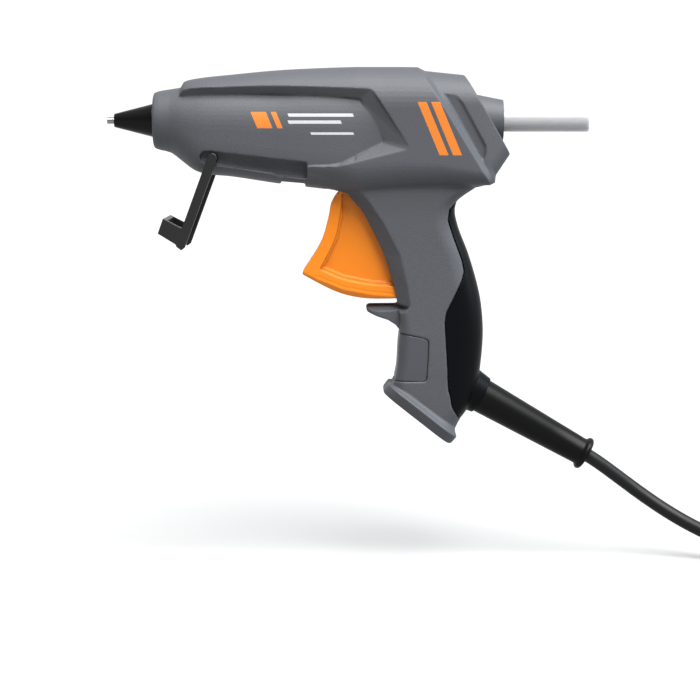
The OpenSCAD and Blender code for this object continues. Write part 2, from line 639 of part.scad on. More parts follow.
// ---------- drawing ----------
left_housing();
right_housing();
housing_screws();
left_grip();
right_grip();
finger_pad();
inlet_funnel();
guide_tube();
melt_chamber();
ptc_heater();
heater_clip();
inlet_seal();
chamber_ring();
nozzle();
valve_ball();
valve_spring();
nozzle_sleeve();
trigger_pin();
lead_wires();
terminal_block();
cord_clamp();
clamp_screws();
strain_relief();
power_cord();
cord_hank();
hank_tie();
mains_plug();
plug_pins();
trigger();
trigger_spring();
feed_carriage();
gripper();
gripper_spring();
carriage_pin();
glue_stick();
stand();
stand_pins();
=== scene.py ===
import bpy
import json
import math
import numpy as np
from mathutils import Matrix, Vector


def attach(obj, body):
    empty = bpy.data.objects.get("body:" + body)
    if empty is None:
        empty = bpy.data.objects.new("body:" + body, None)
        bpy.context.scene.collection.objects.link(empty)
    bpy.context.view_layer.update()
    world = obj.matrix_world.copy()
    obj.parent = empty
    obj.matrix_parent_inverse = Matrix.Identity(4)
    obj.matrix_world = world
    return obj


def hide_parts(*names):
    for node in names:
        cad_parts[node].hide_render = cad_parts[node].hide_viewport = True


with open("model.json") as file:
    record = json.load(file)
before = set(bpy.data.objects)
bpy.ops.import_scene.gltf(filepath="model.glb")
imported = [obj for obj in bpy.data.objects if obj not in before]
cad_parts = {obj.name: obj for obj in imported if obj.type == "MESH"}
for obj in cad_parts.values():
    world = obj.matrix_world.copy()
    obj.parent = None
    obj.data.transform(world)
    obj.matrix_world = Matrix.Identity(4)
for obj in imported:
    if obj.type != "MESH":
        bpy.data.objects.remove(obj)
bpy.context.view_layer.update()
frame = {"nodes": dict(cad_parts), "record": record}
MM = 0.001

# ---- driving sizes in millimetres, and slopes ----
AXIS_Z = 90.0                                   # glue line above the hand grip
FLOOR_Z = -130.0                                # level that the lead lies on
CORD_R = 3.5
EXIT_SLOPE = math.radians(29.5)
EXIT_DIR = Vector((math.cos(EXIT_SLOPE), 0, -math.sin(EXIT_SLOPE)))
EXIT_FACE = Vector((27.6, 0, -48.7))            # where the sleeve leaves the handle
SLEEVE_END = EXIT_FACE + 61 * EXIT_DIR
HANK_X, HANK_RUN, PINCH = 185.0, 105.0, 18.0    # start and length of the hank, and the tie's pull inwards
WIDE, MIDDLE, NARROW = 28.8, 25.2, 21.6         # half widths of the hank's turns
LAYER_2, LAYER_3, LAYER_4 = 7.2, 13.9, 16.9     # heights of its layers over the first
CORD_Z = FLOOR_Z + CORD_R + 0.9
BASE_SLOPE = math.radians(38.2)
BASE_TOE = (-22, -46.2)                         # front corner of the handle's foot, x and z


# ---- camera ----
def make_camera():
    data = bpy.data.cameras.new("camera")
    cam = bpy.data.objects.new("camera", data)
    bpy.context.scene.collection.objects.link(cam)
    target = Vector((-39, 0, -25.6)) * MM
    rise = math.radians(6)
    distance, view_width = 1.1, 0.3545
    cam.location = target + distance * Vector((0, -math.cos(rise), math.sin(rise)))
    cam.rotation_mode = "QUATERNION"
    cam.rotation_quaternion = (target - cam.location).to_track_quat("-Z", "Y")
    data.sensor_width = 36
    data.lens = 36 * distance / view_width
    data.clip_start, data.clip_end = 0.05, 60
    bpy.context.scene.camera = cam


make_camera()


# ---- picking a piece, and merging its doubles with every face outwards ----
def pick(obj):
    bpy.ops.object.select_all(action="DESELECT")
    obj.select_set(True)
    bpy.context.view_layer.objects.active = obj


def outward(obj):
    pick(obj)
    bpy.ops.object.mode_set(mode="EDIT")
    bpy.ops.mesh.select_all(action="SELECT")
    bpy.ops.mesh.remove_doubles(threshold=1e-6)
    bpy.ops.mesh.normals_make_consistent(inside=False)
    bpy.ops.object.mode_set(mode="OBJECT")


# ---- the mains lead: one smooth route from the sleeve to the plug ----
def smooth(t):
    t = min(max(t, 0.0), 1.0)
    return t * t * (3 - 2 * t)


def bezier(a, b, c, d, t):
    return (1 - t) ** 3 * a + 3 * t * (1 - t) ** 2 * b + 3 * t * t * (1 - t) * c + t ** 3 * d


def lead_route():
    pts = [EXIT_FACE + t * EXIT_DIR for t in (36, 48)]
    bend = (SLEEVE_END, SLEEVE_END + 24 * EXIT_DIR, Vector((132, 0, CORD_Z)), Vector((HANK_X, 0, CORD_Z)))
    for i in range(22):
        p = bezier(*bend, i / 22)
        pts.append(Vector((p.x, -WIDE * smooth((p.x - 98) / (HANK_X - 98)), p.z)))
    return pts


def run(r0, r1, z0, z1, side, a, b, back):
    """One straight run of the hank, drawn in towards the tie; r and z change between a and b."""
    pts = []
    for i in range(15):
        f = i / 14
        x = HANK_RUN * (1 - f if back else f)
        g = smooth((f - a) / (b - a))
        pinch = PINCH * (0.5 - 0.5 * math.cos(2 * math.pi * x / HANK_RUN))
        pts.append(Vector((HANK_X + x, side * (r0 + (r1 - r0) * g - pinch), CORD_Z + z0 + (z1 - z0) * g)))
    return pts


def fold(x, r0, r1, z0, z1, start):
    pts = []
    for i in range(1, 12):
        f = i / 12
        r, a = r0 + (r1 - r0) * smooth(f), math.radians(start + 180 * f)
        pts.append(Vector((x + r * math.cos(a), r * math.sin(a), CORD_Z + z0 + (z1 - z0) * smooth(f))))
    return pts


def hank_route():
    far = HANK_X + HANK_RUN
    pts = run(WIDE, WIDE, 0, 0, -1, 0, 1, False) + fold(far, WIDE, WIDE, 0, 0, -90)
    pts += run(WIDE, NARROW, 0, 0, 1, 0, 1, True) + fold(HANK_X, NARROW, NARROW, 0, 0, 90)
    pts += run(NARROW, NARROW, 0, LAYER_2, -1, 0.4, 1, False)
    pts += fold(far, NARROW, NARROW, LAYER_2, LAYER_2, -90)
    pts += run(NARROW, NARROW, LAYER_2, LAYER_2, 1, 0, 1, True)
    pts += fold(HANK_X, NARROW, NARROW, LAYER_2, LAYER_2, 90)
    pts += run(NARROW, WIDE, LAYER_2, LAYER_2, -1, 0, 0.36, False)
    pts += fold(far, WIDE, WIDE, LAYER_2, LAYER_2, -90)
    pts += run(WIDE, WIDE, LAYER_2, LAYER_2, 1, 0, 1, True) + fold(HANK_X, WIDE, MIDDLE, LAYER_2, LAYER_3, 90)
    pts += run(MIDDLE, MIDDLE, LAYER_3, LAYER_3, -1, 0, 1, False)
    pts += fold(far, MIDDLE, MIDDLE, LAYER_3, LAYER_3, -90)
    pts += run(MIDDLE, MIDDLE, LAYER_3, LAYER_3, 1, 0, 1, True)
    # a last, tighter half turn, and the end that lifts to the plug
    last_r, last_y, end_y, plug_rise = 21.8, 3.4, -18.4, 12.3
    for i in range(1, 12):
        a = math.radians(90 + 15 * i)
        pts.append(Vector((HANK_X + last_r * math.cos(a), last_y + last_r * math.sin(a),
                           CORD_Z + LAYER_3 + 3 * i / 12)))
    for i in range(15):
        f = i / 14
        pts.append(Vector((HANK_X + 76 * f, end_y - end_y * smooth(f),
                           CORD_Z + LAYER_4 + plug_rise * smooth(f * 1.05))))
    return pts


def make_cord(name, route, radius):
    curve = bpy.data.curves.new(name, "CURVE")
    curve.dimensions = "3D"
    curve.bevel_depth = radius * MM
    curve.bevel_resolution = 5
    curve.resolution_u = 3
    curve.use_fill_caps = True
    spline = curve.splines.new("NURBS")
    spline.points.add(len(route) - 1)
    for point, place in zip(spline.points, route):
        point.co = (*(place * MM), 1)
    spline.order_u = 3
    spline.use_endpoint_u = True
    cord = bpy.data.objects.new(name, curve)
    bpy.context.scene.collection.objects.link(cord)
    pick(cord)
    bpy.ops.object.convert(target="MESH")
    cord = bpy.context.view_layer.objects.active
    outward(cord)
    bpy.ops.object.shade_smooth_by_angle(angle=math.radians(50))
    return cord


def centreline(route):
    """The line the tube follows: a quadratic spline through the mid points of the route."""
    pts = [route[0]]
    for a, b, c in zip(route, route[1:], route[2:]):
        start, end = (a + b) / 2, (b + c) / 2
        if a is route[0]:
            start = a
        if c is route[-1]:
            end = c
        pts += [start * (1 - t) ** 2 + b * 2 * t * (1 - t) + end * t * t for t in (0.33, 0.67, 1)]
    return pts


route = lead_route() + hank_route()
cord = make_cord("mains_lead", route, CORD_R)
cord_line = [p * MM for p in centreline(route)]
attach(cord, "tool")
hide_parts("power_cord", "cord_hank")
inner_route = [EXIT_FACE + t * EXIT_DIR for t in (-29, -14, 1, 16, 36)]
inner_cord = make_cord("lead_in_handle", inner_route, CORD_R)
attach(inner_cord, "tool")


# ---- making meshes ----
def new_object(name, points, faces):
    mesh = bpy.data.meshes.new(name)
    mesh.from_pydata([tuple(c * MM for c in p) for p in points], [], faces)
    obj = bpy.data.objects.new(name, mesh)
    bpy.context.scene.collection.objects.link(obj)
    outward(obj)
    return obj


def skin(name, rings):
    """A closed solid through rings of equal length."""
    n, m = len(rings[0]), len(rings)
    faces = [[i * n + j, i * n + (j + 1) % n, (i + 1) * n + (j + 1) % n, (i + 1) * n + j]
             for i in range(m - 1) for j in range(n)]
    faces += [list(range(n))[::-1], list(range((m - 1) * n, m * n))]
    return new_object(name, [p for ring in rings for p in ring], faces)


def slab(name, outline, y0, y1):
    """A side outline (x, z) made solid from y0 to y1."""
    return skin(name, [[(x, y0, z) for x, z in outline], [(x, y1, z) for x, z in outline]])


def rod(name, start, end, r0, r1=None, n=64):
    """A round bar or taper between two places."""
    start, end = Vector(start), Vector(end)
    r1 = r0 if r1 is None else r1
    bpy.ops.object.select_all(action="DESELECT")
    bpy.ops.mesh.primitive_cone_add(vertices=n, radius1=r0 * MM, radius2=r1 * MM,
                                    depth=(end - start).length * MM)
    obj = bpy.context.object
    obj.name = obj.data.name = name
    turn = (end - start).to_track_quat("Z", "Y").to_matrix().to_4x4()
    obj.data.transform(Matrix.Translation((start + end) / 2 * MM) @ turn)
    return obj


def combine(obj, tool, how):
    pick(obj)
    cut = obj.modifiers.new("cut", "BOOLEAN")
    cut.operation, cut.object, cut.solver = how, tool, "EXACT"
    bpy.ops.object.modifier_apply(modifier="cut")
    bpy.data.objects.remove(tool)


def soften(obj, grain, rounds, keep):
    """Rounds every edge a little, as a mould does: fine even mesh, smoothed, then thinned to keep faces."""
    pick(obj)
    mesh = obj.modifiers.new("even", "REMESH")
    mesh.mode, mesh.voxel_size, mesh.adaptivity = "VOXEL", grain * MM * 1, 0
    bpy.ops.object.modifier_apply(modifier="even")
    ease = obj.modifiers.new("ease", "SMOOTH")
    ease.factor, ease.iterations = 0.5, rounds
    bpy.ops.object.modifier_apply(modifier="ease")
    count = 2 * len(obj.data.polygons)
    if count > keep:
        thin = obj.modifiers.new("thin", "DECIMATE")
        thin.ratio = keep / count
        bpy.ops.object.modifier_apply(modifier="thin")
    bpy.ops.object.shade_smooth()


def copy_of(node, name):
    source = frame["nodes"][node]
    obj = source.copy()
    obj.data = source.data.copy()
    obj.name = obj.data.name = name
    obj.parent = None
    obj.modifiers.clear()
    bpy.context.scene.collection.objects.link(obj)
    obj.data.materials.clear()
    outward(obj)
    return obj


def duplicate(obj, name, mirrored=False):
    twin = obj.copy()
    twin.data = obj.data.copy()
    twin.name = twin.data.name = name
    bpy.context.scene.collection.objects.link(twin)
    if mirrored:
        twin.data.transform(Matrix.Scale(-1, 4, (0, 1, 0)))
        outward(twin)
    return twin


# ---- housing ----
def arc(cx, cy, r, a0, a1, n):
    return [(cx + r * math.cos(math.radians(a0 + (a1 - a0) * i / n)),
             cy + r * math.sin(math.radians(a0 + (a1 - a0) * i / n))) for i in range(n + 1)]


def blend_rows(rows, step):
    """Smooth rows of station values, through every given one, about a step apart."""
    rows = np.array(rows, float)
    out = []
    for i in range(len(rows) - 1):
        a, b = rows[i], rows[i + 1]
        before, after = rows[max(i - 1, 0)], rows[min(i + 2, len(rows) - 1)]
        span = max(abs(b[:2] - a[:2]).max(), 1e-6)
        left = max(abs(a[:2] - before[:2]).max(), 1e-6)
        right = max(abs(after[:2] - b[:2]).max(), 1e-6)
        slope = (b - a) / span
        m0 = slope if i == 0 else 0.5 * (slope + (a - before) / left)
        m1 = slope if i == len(rows) - 2 else 0.5 * (slope + (after - b) / right)
        for k in range(max(int(span / step), 1)):
            t = k / max(int(span / step), 1)
            h = t * t * (3 - 2 * t)
            out.append(a * (1 - h) + b * h + span * (m0 * t * (1 - t) ** 2 - m1 * t * t * (1 - t)))
    return out + [rows[-1]]


# x low, x high, z low, z high, half width, low corner radius, high corner radius
BARREL = [(-123.4, -123.4, 72, 105.2, 16, 9, 13), (-123, -123, 70, 107, 17.4, 9, 14),
          (-121.6, -121.6, 68.6, 109.2, 18.4, 9, 14), (-119.6, -119.6, 67, 109.9, 19, 10, 14.5),
          (-114.3, -114.3, 64, 110.9, 20.2, 11, 15), (-98.5, -98.5, 62.1, 112.6, 22, 13, 16),
          (-73.7, -73.7, 58.5, 114.9, 23.3, 15, 17.5), (-49, -49, 55.6, 116.1, 24, 16, 19),
          (-36, -36, 52.4, 116.5, 24, 16, 19)]
REAR = [(-36, -36, 52.4, 116.5, 24, 16, 19), (-14, -24, 54.6, 116.5, 24, 15, 20),
        (8, -13, 57, 116.5, 24, 12, 20), (30.4, -5.3, 58.1, 116.4, 24, 7, 20),
        (30.7, -4.9, 58.3, 116.2, 23.8, 7, 20), (32.6, -1.8, 59.2, 114.6, 20.9, 6, 17),
        (32.9, -1.2, 59.4, 114.5, 20.8, 6, 17), (33.3, -0.4, 63, 114.4, 20.7, 6, 17),
        (40.3, 17.8, 73.4, 112.5, 19.4, 6, 15)]
# inner body that shows inside the side panels: x, z low, z high, half width, roundness below, above
CORE = [(-137.2, 77.4, 102.6, 12.6, 2, 2), (-136.8, 76.4, 103.6, 13.6, 2, 2), (-136, 75.9, 104.1, 14.1, 2, 2),
        (-134, 75.2, 104.7, 14.6, 2, 2), (-128.4, 73.8, 105.6, 15.6, 2.1, 2),
        (-123.4, 70, 106.4, 17.4, 2.3, 2.05), (-116.8, 65.2, 107.2, 19.4, 2.9, 2.1),
        (-112, 63.6, 107.6, 20.4, 3.4, 2.15), (-98, 62.1, 108.4, 21.8, 3.7, 2.2),
        (-73.7, 58.5, 109, 22.6, 4, 2.3), (-61, 57, 109, 22.8, 4.2, 2.5), (-49, 55.6, 109, 22.6, 4.2, 2.6),
        (-30, 52.8, 109, 21, 4, 2.7), (-12, 52.8, 109, 19.4, 4, 2.7)]
# handle: z twice, x front, x rear, half width, front radius, rear radius
HANDLE = [(-75, -75, -16, 9.6, 15.6, 6, 10), (-66, -66, -16, 13.6, 15.7, 6, 11),
          (-61, -61, -16, 16, 15.8, 6, 11), (-50, -50, -17, 23.5, 16.2, 6, 12),
          (-41, -41, -17.2, 25.6, 16.5, 6, 12), (-33.8, -33.8, -15.9, 26.7, 16.8, 6, 13),
          (-20, -20, -15, 27.9, 17, 6, 13), (-12, -12, -14, 27.9, 17, 5, 13), (0, 0, -15.4, 26.7, 17, 3, 13),
          (8.1, 8.1, -17.2, 25, 17, 3, 13), (23.5, 23.5, -22.1, 20.4, 17, 3, 12),
          (38.3, 38.3, -29.1, 14.8, 17.2, 3, 12), (46, 46, -33.6, 13.4, 17.3, 3, 10),
          (50.9, 50.9, -38, 15.1, 17.4, 3, 8), (56, 56, -41, 22.4, 17.2, 3, 7), (60, 60, -41, 27, 16.4, 3, 6),
          (64, 64, -40, 27, 13, 3, 6)]
N_ARC = 12         # steps in a rounded corner
WALL = 2.6         # thickness of the shells' wall
SEAM = 0.06        # half the gap between the two shells


def half_section(low, high, width, r_low, r_high):
    a, b = min(r_low, width - 0.4), min(r_high, width - 0.4)
    lower = arc(width - a, low + a, a, -90, 0, N_ARC)
    upper = arc(width - b, high - b, b, 0, 90, N_ARC)
    return [(-1, low)] + lower + upper + [(-1, high)]


def barrel_ring(s, g=0.0):
    pts = half_section(s[2] + g, s[3] - g, s[4] - g, max(s[5] - g, 1), max(s[6] - g, 1))
    return [(s[0] + (s[1] - s[0]) * (z - s[2]) / (s[3] - s[2]), y, z) for y, z in pts]


def handle_ring(s, g=0.0):
    pts = half_section(s[2] + g, s[3] - g, s[4] - g, max(s[5] - g, 0.8), max(s[6] - g, 0.8))
    return [(x, y, s[0]) for y, x in pts]


def core_ring(s, g=0.0):
    x, low, high, width = s[0], s[1] + g, s[2] - g, s[3] - g
    ring = [(x, -1, low)]
    for i in range(33):
        a = math.radians(-90 + 180 * i / 32)
        n = s[4] if i < 16 else s[5]
        y = width * abs(math.cos(a)) ** (2 / n)
        z = (high - low) / 2 * math.copysign(abs(math.sin(a)) ** (2 / n), a)
        ring.append((x, y + 0.01, (low + high) / 2 + z))
    return ring + [(x, -1, high)]


def below_base(lift):
    """Everything under the sloping foot of the handle, raised by lift."""
    along = Vector((math.cos(BASE_SLOPE), -math.sin(BASE_SLOPE)))
    up = Vector((math.sin(BASE_SLOPE), math.cos(BASE_SLOPE)))
    start = Vector(BASE_TOE) + lift * up
    corners = [start - 60 * along, start + 90 * along,
               start + 90 * along - 60 * up, start - 60 * along - 60 * up]
    return slab("below", [tuple(c) for c in corners], -60, 60)


def base_flange():
    """The foot's rim: rings at height t over the sloping face, each drawn in along it and across it."""
    outline = [(-1, -1)] + arc(9, 10, 10, 180, 90, 10) + arc(32.6, 10, 10, 90, 0, 10) + [(42.6, -1)]
    steps = [(0, 1.0, 3.4), (0.6, 0.3, 2.9), (1.4, 0, 2.4), (5.1, 0, 0), (5.6, 0.4, 0.5), (6.7, 2, 2.6),
             (8.2, 3.6, 4.3)]
    mid_u, half_u, half_y = 20.8, 21.8, 20
    c, s = math.cos(BASE_SLOPE), math.sin(BASE_SLOPE)
    rings = []
    for t, inset, tuck in steps:
        ring = []
        for u, y in outline:
            u2 = mid_u + (u - mid_u) * (half_u - inset) / half_u
            y2 = y * (half_y - tuck) / half_y if y > 0 else y
            ring.append((BASE_TOE[0] + u2 * c + t * s, y2, BASE_TOE[1] - u2 * s + t * c))
        rings.append(ring)
    return skin("flange", rings)


def panel_cutter():
    """The sloped-wall opening that leaves the inner body showing as a sunk side panel."""
    rim = [(-130, 104.8, 13), (-120, 105.6, 15), (-102.7, 106.4, 18.2), (-77.8, 107, 20.3),
           (-39, 106, 22.1), (-28.6, 105.6, 22.3), (-9.9, 77.3, 24.05), (-11, 75.6, 24.05),
           (-45, 67.6, 23.6), (-60.9, 67.2, 23.2), (-60.9, 40, 23.2), (-130, 40, 18)]
    floor = [(-130, 101.6), (-120, 102.2), (-102.7, 102.8), (-77.8, 103), (-39, 101.2), (-33.9, 100.6),
             (-22, 80.2), (-22.7, 79), (-43.2, 69), (-60.8, 67.1), (-60.8, 40.1), (-130, 40.1)]
    depth = [11.4, 13, 15.8, 17.6, 19.2, 19.2, 20.8, 20.8, 22.1, 22.3, 22.3, 15]
    return skin("panel", [[(x, -5, z) for x, z in floor], [(x, d, z) for (x, z), d in zip(floor, depth)],
                          [(x, y, z) for x, z, y in rim], [(x, 50, z) for x, z, y in rim]])


def trigger_chamfer():
    """The bevelled mouth of the handle beside the trigger: front edge, outer edge."""
    front = [(-41, 56), (-34.7, 48), (-29.1, 38.3), (-22.1, 23.5), (-17.2, 8.1), (-15.2, -2.4)]
    outer = [(-33, 56), (-27.2, 48), (-21.4, 38.3), (-14, 23.5), (-10.2, 8.1), (-8.6, -2.4)]
    width = [18.9, 18.1, 17.4, 17.1, 17.1, 17.1]
    rings = []
    for (fx, fz), (ox, oz), w in zip(front, outer, width):
        rings.append([(fx + 0.3, 11.7, fz), (fx - 9, 11.7, fz), (fx - 9, 40, oz), (ox + 1, 40, oz),
                      (ox, w, oz)])
    return skin("chamfer", rings)


GRIP_EDGE = [(23.6, 55.8), (15.1, 50.9), (10.2, 46), (9.5, 40.4), (12.3, 32), (16.5, 20.7), (17.6, 15.1),
             (16.5, 10.9), (12.3, 1.8), (8.8, -5.3), (8.1, -10.2), (9.2, -27.7), (10, -44), (11, -47.6),
             (11.9, -52.9), (15.4, -58.8)]
GRIP_BACK = [(40, -62), (40, 50), (28, 56)]
PAD_BACK = [(-40, -40), (-40, -15.6)]
PAD_EDGE = [(-13, -15.6), (-2, -18.1)] + arc(-1.6, -20.4, 2, 80, 0, 4) + [(0.2, -27), (-0.4, -37.6)] \
    + arc(-2.4, -38, 2, 0, -90, 4) + [(-13, -40)]
SCREWS = [(-104, 104.8), (-56, 107), (6, 106), (-66, 66.2), (14, 66), (11, 24), (-6, -46)]


def handle_skin(g):
    return skin("handle", [handle_ring(s, g) for s in blend_rows(HANDLE, 2)])


def trimmed_handle(lift=3):
    body = handle_skin(0)
    combine(body, below_base(lift), "DIFFERENCE")
    return body


def rear_end():
    """The part behind the slanted strip, with its sunk cheek."""
    rear = skin("rear", [barrel_ring(s) for s in REAR])
    combine(rear, panel_cutter(), "DIFFERENCE")
    outer = [(6, 104.4), (12.5, 103.9), (17.4, 99.6), (29.4, 78.4), (29.2, 74), (27.6, 69)]
    inner = [(7.4, 102.6), (13, 102.2), (16, 98), (27.2, 77), (26.8, 73), (25.4, 71)]
    scallop = [[(x, y, z) for x, z in outline] for y, outline in ((19.4, inner), (21.6, outer), (40, outer))]
    combine(rear, skin("scallop", scallop), "DIFFERENCE")
    return rear


def finger_guard():
    """The hooked guard under the trigger, with its corner rounded in plan."""
    side = [(-31, -3)] + arc(-28.8, -4, 2, 200, 250, 4) + [
        (-25, -7.8), (-20, -9.4), (-16.2, -11.8), (-14, -14.6), (-8, -15), (-8, 0.4), (-12, -1),
        (-16, -1.9), (-29.6, -1.9)]
    lip = slab("guard", side, -1, 11)
    plan = [(-31, -1), (-31, 2.6)] + arc(-24, 4, 7, 180, 90, 10) + [
        (-14, 11.3), (-10, 14.5), (-6, 15.5), (0, 15.5), (0, -1)]
    combine(lip, skin("plan", [[(x, y, -30) for x, y in plan], [(x, y, 10) for x, y in plan]]), "INTERSECT")
    return lip


def guard_scoop():
    """Hollows the guard's underside towards its outer edge."""
    rows = [(-40, 1, -1.5, -8.4, 1), (-17, 5, -2, -7.6, 0), (-13, 8, -2.2, -6.4, -1.8),
            (-10.6, 11.5, -2.3, -4.6, -2.1), (-9.6, 15, -2.5, -3.2, -2.3)]
    return skin("scoop", [[(x, y0, z0), (x, 18, z1), (x, 18, top), (x, y0, top)]
                          for x, y0, z0, z1, top in rows])


def inside_room():
    """The hollow in one shell, which leaves the screws' bosses and the thick places standing."""
    rows = [s for s in blend_rows(CORE, 6) if -135.6 < s[0] < -14]
    hollow = skin("hollow", [core_ring(s, WALL) for s in rows])
    rear_rows = [(-20, -26, 54.2, 111, 20.4, 15, 10), (26.4, -4.4, 58.2, 113, 21, 15, 10),
                 (28.4, -1, 60.2, 113, 20, 12, 10), (37, 14.8, 72.4, 112.5, 18.8, 10, 10)]
    combine(hollow, skin("rear_room", [barrel_ring(s, 2.5) for s in rear_rows]), "UNION")
    thick = [(-113, 50), (-58.6, 50), (-58.6, 76), (-113, 76)]
    combine(hollow, slab("thick", thick, 15.4, 40), "DIFFERENCE")
    handle_room = skin("room", [handle_ring(s, WALL) for s in HANDLE])
    combine(handle_room, below_base(6), "DIFFERENCE")
    cheek = [(-60, 66), (-30.5, 56), (-24.7, 48), (-19, 38.3), (-11.5, 23.5), (-7.6, 8.1), (-6, -4), (-60, -4)]
    combine(handle_room, slab("cheek", cheek, -2, 40), "DIFFERENCE")
    combine(hollow, handle_room, "UNION")
    for x, z in SCREWS:
        combine(hollow, rod("boss", (x, -3, z), (x, 40, z), 4.1, n=32), "DIFFERENCE")
    return hollow


def shell_cutters():
    """The trigger's slot and mouth, the bores of the glue line and lead, and the stand's room."""
    slot = [(-50.4, 50), (-50.4, 61), (-44, 66), (-18, 66), (-6, 40), (8, 14), (8, 1.2), (-20, 1.2),
            (-60, 1.2), (-60, 45)]
    stand_room = [(-112, 75.2), (-111.4, 74.9), (-60.2, 69.4), (-60.2, 50), (-112, 50)]
    stand_recess = arc(-109.6, 71.6, 3.5, 80, 190, 8) + [
        (-111, 67.6), (-104.8, 68), (-77.8, 64.4), (-74.8, 62.4), (-60.2, 61.8), (-60.2, 69.4)]
    belly_step = [(-73.7, 50), (-73.7, 60), (-61.2, 59), (-61.2, 50)]
    stand_x, stand_z = -106.8, 71.1
    cutters = [
        slab("slot", slot, -2, 10.6),
        trigger_chamfer(),
        rod("mouth", (-139, 0, AXIS_Z), (-133, 0, AXIS_Z), 8.4),
        rod("funnel_seat", (19, 0, AXIS_Z), (42, 0, AXIS_Z), 14.0, 9.4),
        rod("exit", EXIT_FACE - 16 * EXIT_DIR, EXIT_FACE + 3 * EXIT_DIR, 9.8),
        slab("stand_room", stand_room, 19.3, 40),
        slab("stand_recess", stand_recess, 16.7, 40),
        rod("stand_hole", (stand_x, 12, stand_z), (stand_x, 30, stand_z), 2.35),
        slab("belly_step", belly_step, -2, 40),
        rod("stand_eye", (stand_x, 19.3, stand_z), (stand_x, 40, stand_z), 3.6)]
    return cutters + [rod("shank_hole", (x, -3, z), (x, 12.3, z), 1.8, n=24) for x, z in SCREWS]


def half_shell():
    shell = skin("shell", [barrel_ring(s) for s in blend_rows(BARREL, 2)])
    combine(shell, panel_cutter(), "DIFFERENCE")
    combine(shell, rear_end(), "UNION")
    combine(shell, skin("core", [core_ring(s) for s in blend_rows(CORE, 2)]), "UNION")
    combine(shell, trimmed_handle(), "UNION")
    combine(shell, base_flange(), "UNION")
    combine(shell, finger_guard(), "UNION")
    combine(shell, guard_scoop(), "DIFFERENCE")
    bump = [(24, 57), (32.7, 59.1), (32.7, 63.4), (33.6, 64.6), (24, 66)]
    combine(shell, slab("bump", bump, -1, 15), "UNION")
    combine(shell, inside_room(), "DIFFERENCE")
    for cutter in shell_cutters():
        combine(shell, cutter, "DIFFERENCE")
    # seats of the soft grip and the finger pad, a little wider than the pads themselves
    for outline, depth in ((GRIP_EDGE + GRIP_BACK, 1.9), (PAD_EDGE + PAD_BACK, 1.3)):
        seat = slab("seat", outline, -2, 40)
        combine(seat, handle_skin(depth), "DIFFERENCE")
        combine(shell, seat, "DIFFERENCE")
    far_half = [(-300, -300), (300, -300), (300, 300), (-300, 300)]
    combine(shell, slab("split", far_half, -60, SEAM), "DIFFERENCE")
    return shell


def make_housing():
    right = half_shell()
    left = duplicate(right, "left_shell", mirrored=True)
    for x, z in SCREWS:
        combine(right, rod("hole", (x, 11.9, z), (x, 40, z), 3.1, n=32), "DIFFERENCE")
    right.name = right.data.name = "right_shell"
    for shell, node in ((left, "left_housing"), (right, "right_housing")):
        soften(shell, 0.45, rounds=2, keep=195000)
        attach(shell, "tool")
        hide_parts(node)
    return left, right


def soft_grip(name, node, mirrored):
    grip = slab(name, [(x + 0.35, z) for x, z in GRIP_EDGE] + GRIP_BACK, 0.05, 40)
    combine(grip, trimmed_handle(7.6), "INTERSECT")
    collar = rod("collar", EXIT_FACE - 10 * EXIT_DIR, EXIT_FACE, 11.3, 9.7)
    combine(collar, slab("half", [(-90, -90), (90, -90), (90, 90), (-90, 90)], 0.05, 40), "INTERSECT")
    combine(grip, collar, "UNION")
    combine(grip, handle_skin(1.8), "DIFFERENCE")
    combine(grip, rod("exit", EXIT_FACE - 20 * EXIT_DIR, EXIT_FACE + 3 * EXIT_DIR, 8.4), "DIFFERENCE")
    combine(grip, rod("groove", EXIT_FACE - 8.1 * EXIT_DIR, EXIT_FACE - 5.9 * EXIT_DIR, 9.75), "DIFFERENCE")
    combine(grip, skin("barrel", [barrel_ring(s, -0.15) for s in REAR]), "DIFFERENCE")
    if mirrored:
        grip.data.transform(Matrix.Scale(-1, 4, (0, 1, 0)))
        outward(grip)
    soften(grip, 0.4, rounds=2, keep=60000)
    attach(grip, "tool")
    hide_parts(node)
    return grip


def whole_handle(g):
    """The handle drawn in by g, with both its halves."""
    body = handle_skin(g)
    combine(body, duplicate(body, "twin", mirrored=True), "UNION")
    return body


def make_finger_pad():
    inset = [(x - 0.35, z) for x, z in PAD_EDGE[1:-1]]
    outline = [(-13, -16)] + inset + [(-13, -39.6), (-40, -39.6), (-40, -16)]
    pad = slab("finger_rest", outline, -40, 40)
    combine(pad, whole_handle(0.35), "INTERSECT")
    combine(pad, whole_handle(1.2), "DIFFERENCE")
    soften(pad, 0.35, rounds=3, keep=50000)
    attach(pad, "tool")
    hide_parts("finger_pad")
    return pad


# ---- trigger, stand and the other pieces that show ----
def take_over(obj, node, body):
    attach(obj, body)
    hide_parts(node)
    return obj


FOOT_W = 10.5      # half width of the trigger's foot


